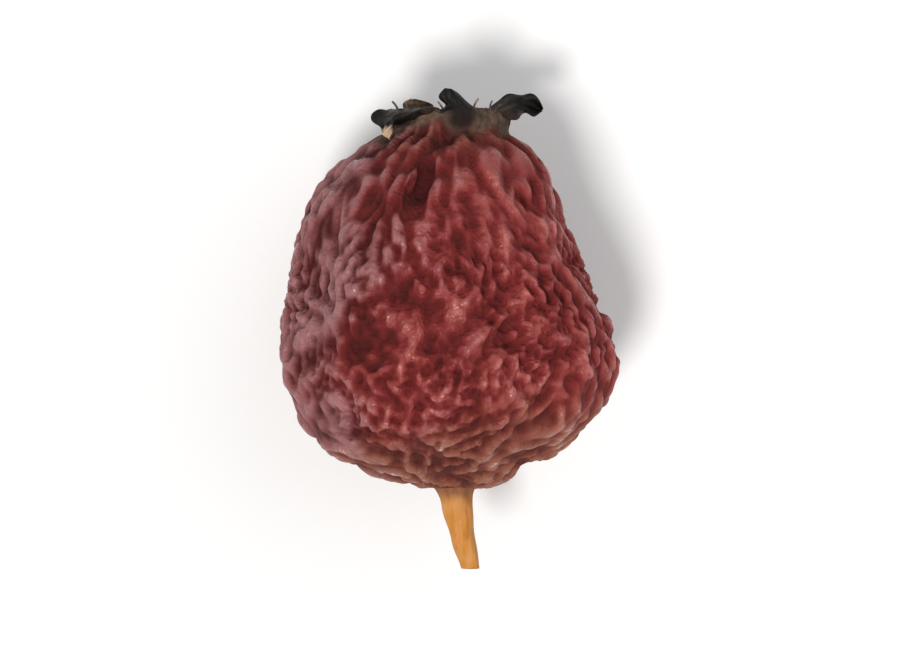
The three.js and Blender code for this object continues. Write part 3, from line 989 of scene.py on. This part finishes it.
def stamen_tree(material):
    """Nodes that stand bent filaments round a ring, and the identifiers of their named inputs."""
    tree = bpy.data.node_groups.new("Stamens round a ring", "GeometryNodeTree")
    kinds = {"Count": "Int", "Ring Radius": "Float", "Length": "Float", "Slimness": "Float",
             "Place": "Vector", "Seed": "Int"}

    def socket(name, kind, side):
        return tree.interface.new_socket(name=name, in_out=side, socket_type="NodeSocket" + kind).identifier

    known = {name: socket(name, kind, "INPUT") for name, kind in kinds.items()}
    socket("Geometry", "Geometry", "OUTPUT")
    nodes = Nodes(tree)
    given = tree.nodes.new("NodeGroupInput")

    def wanted(name):
        return Value(nodes, given.outputs[name])

    def random(kind, low, high, output, first):
        """A random value for each point. The lower bound is the node's input number first."""
        inputs = {first: low, first + 1: high, "Seed": wanted("Seed")}
        return nodes.add("FunctionNodeRandomValue", inputs, output, data_type=kind)

    bow = nodes.add("GeometryNodeCurveQuadraticBezier", {
        "Resolution": 9, "Start": (0.0, 0.0, -0.12), "Middle": (-0.12, 0.05, 0.55), "End": (0.3, 0.0, 1.0)})
    reach = nodes.add("GeometryNodeSplineParameter", {}, "Factor")
    bow = nodes.add("GeometryNodeSetCurveRadius", {"Curve": bow, "Radius": 1 - 0.45 * reach})
    section = nodes.add("GeometryNodeCurvePrimitiveCircle", {"Resolution": 7, "Radius": wanted("Slimness")})
    filament = nodes.add("GeometryNodeCurveToMesh", {
        "Curve": bow, "Profile Curve": section, "Fill Caps": True})
    ring = nodes.add("GeometryNodeMeshCircle", {"Vertices": wanted("Count"), "Radius": wanted("Ring Radius")})
    shake = random("FLOAT_VECTOR", (-0.09 * MM, -0.09 * MM, -0.04 * MM),
                   (0.09 * MM, 0.09 * MM, 0.02 * MM), 0, 0)
    ring = nodes.add("GeometryNodeSetPosition", {"Geometry": ring, "Offset": shake})
    outwards = nodes.add("GeometryNodeInputPosition", {})
    facing = nodes.add("FunctionNodeAlignRotationToVector", {"Vector": outwards}, axis="X", pivot_axis="Z")
    lean = random("FLOAT_VECTOR", (-0.6, -0.5, -0.9), (0.6, 0.75, 0.9), 0, 0)
    lean = nodes.add("FunctionNodeEulerToRotation", {0: lean})
    facing = nodes.add("FunctionNodeRotateRotation", {"Rotation": facing, "Rotate By": lean},
                       rotation_space="LOCAL")
    share = random("FLOAT", 0.35, 1.0, 1, 2)
    placed = nodes.add("GeometryNodeInstanceOnPoints", {
        "Points": ring, "Instance": filament, "Rotation": facing, "Scale": share * wanted("Length")})
    upright = nodes.add("GeometryNodeTransform", {
        "Geometry": placed, "Translation": wanted("Place"), "Rotation": (-math.pi / 2, 0.0, 0.0)})
    real = nodes.add("GeometryNodeRealizeInstances", {"Geometry": upright})
    smooth = nodes.add("GeometryNodeSetShadeSmooth", {"Geometry": real, "Shade Smooth": True})
    finished = nodes.add("GeometryNodeSetMaterial", {"Geometry": smooth, "Material": material})
    nodes.add("NodeGroupOutput", {"Geometry": finished})
    return tree, known


def build_stamens(scene):
    sizes = scene.haw_sizes
    tree, known = stamen_tree(style_material(scene.haw_colours))
    carrier = put("stamen_carrier", bpy.data.meshes.new("stamen_carrier"))
    modifier = carrier.modifiers.new("Stamens", "NODES")
    modifier.node_group = tree
    side, up = axis_at(RING_STATION)
    middle = (np.array([side, RING_STATION, up]) + SHIFT) * MM
    settings = {"Count": sizes.stamens, "Ring Radius": STAMENS["ring"] * MM, "Length": sizes.stamen_length,
                "Slimness": STAMENS["radius"] * MM / sizes.stamen_length, "Place": middle.tolist(),
                "Seed": STAMENS["seed"]}
    for name, value in settings.items():
        modifier[known[name]] = value
    bpy.context.view_layer.update()
    drawn = carrier.evaluated_get(bpy.context.evaluated_depsgraph_get())
    mesh = bpy.data.meshes.new_from_object(drawn)
    if not mesh.polygons:
        raise RuntimeError("the stamen nodes made no filaments")
    bpy.data.objects.remove(carrier)
    mesh.name = "stamens"
    piece = put("stamens", mesh)
    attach(piece, BODY)


def build_floor():
    bpy.ops.mesh.primitive_plane_add(size=3.0, location=(0.0, 0.0, 0.0))
    floor = bpy.context.object
    floor.name = "floor"
    floor.data.materials.append(floor_material())


def build_lamps():
    for name, direction, strength, softness, colour in LAMPS:
        data = bpy.data.lights.new(name, "SUN")
        data.energy = strength
        data.angle = math.radians(softness)
        data.color = colour
        put(name, data).rotation_euler = Vector(direction).to_track_quat("Z", "Y").to_euler()


def build_sky(scene):
    """A white world, which lights less brightly than it looks."""
    world = bpy.data.worlds.new("white studio")
    world.use_nodes = True
    world.node_tree.nodes.clear()
    nodes = Nodes(world.node_tree)
    strength = seen_rays(nodes) * SKY_SEEN + SKY_LIGHT
    sky = nodes.add("ShaderNodeBackground", {"Color": WHITE, "Strength": strength})
    nodes.add("ShaderNodeOutputWorld", {"Surface": sky})
    scene.world = world


def build_camera(scene):
    """A camera straight above the middle of the berry."""
    low, high = (Vector(corner) for corner in CAD_BOX)
    middle = (low + high) / 2
    data = bpy.data.cameras.new("camera")
    data.lens = 150
    data.clip_start = 0.002
    data.clip_end = 20.0
    scene.camera = put("camera", data)
    scene.camera.location = (middle.x, middle.y, middle.z + CAMERA_RISE)
    scene.view_settings.view_transform = "Standard"


def build_stage(scene):
    build_floor()
    build_lamps()
    build_sky(scene)
    build_camera(scene)


# ---- add-on

class Builds:
    """What the operators share: each builds its own part of the scene."""

    def execute(self, context):
        self.build(context.scene)
        return {"FINISHED"}


class HAW_OT_fruit(Builds, Operator):
    """Build the wrinkled fruit with its ring and cup"""
    bl_idname = "haw.fruit"
    bl_label = "Fruit"
    build = staticmethod(build_fruit)


class HAW_OT_stem(Builds, Operator):
    """Build the stem stub"""
    bl_idname = "haw.stem"
    bl_label = "Stem"
    build = staticmethod(build_stem)


class HAW_OT_sepals(Builds, Operator):
    """Build the five sepals of the crown"""
    bl_idname = "haw.sepals"
    bl_label = "Sepals"
    build = staticmethod(build_sepals)


class HAW_OT_style(Builds, Operator):
    """Build the withered style in the cup"""
    bl_idname = "haw.style"
    bl_label = "Style"
    build = staticmethod(build_style)


class HAW_OT_stamens(Builds, Operator):
    """Build the withered filaments round the ring"""
    bl_idname = "haw.stamens"
    bl_label = "Stamens"
    build = staticmethod(build_stamens)


class HAW_OT_stage(Builds, Operator):
    """Set up the floor, the lamps, the sky and the camera"""
    bl_idname = "haw.stage"
    bl_label = "Stage"
    build = staticmethod(build_stage)


class HAW_PT_panel(Panel):
    """The berry's sizes and colours, and a button for each piece"""
    bl_idname = "HAW_PT_panel"
    bl_label = "Dried hawthorn berry"
    bl_space_type = "VIEW_3D"
    bl_region_type = "UI"
    bl_category = "Haw"

    def draw(self, context):
        for settings in (context.scene.haw_sizes, context.scene.haw_colours):
            box = self.layout.box()
            for name in settings.bl_rna.properties.keys():
                if name not in ("rna_type", "name"):
                    box.prop(settings, name)
        for operator in OPERATORS:
            self.layout.operator(operator.bl_idname)


OPERATORS = (HAW_OT_fruit, HAW_OT_stem, HAW_OT_sepals, HAW_OT_style, HAW_OT_stamens, HAW_OT_stage)
CLASSES = (HawSizes, HawColours, *OPERATORS, HAW_PT_panel)


def register():
    for item in CLASSES:
        bpy.utils.register_class(item)
    bpy.types.Scene.haw_sizes = PointerProperty(type=HawSizes)
    bpy.types.Scene.haw_colours = PointerProperty(type=HawColours)


def unregister():
    del bpy.types.Scene.haw_colours
    del bpy.types.Scene.haw_sizes
    for item in reversed(CLASSES):
        bpy.utils.unregister_class(item)


def main():
    register()
    bpy.ops.haw.fruit()
    bpy.ops.haw.stem()
    bpy.ops.haw.sepals()
    bpy.ops.haw.style()
    bpy.ops.haw.stamens()
    bpy.ops.haw.stage()


if __name__ == "__main__":
    main()
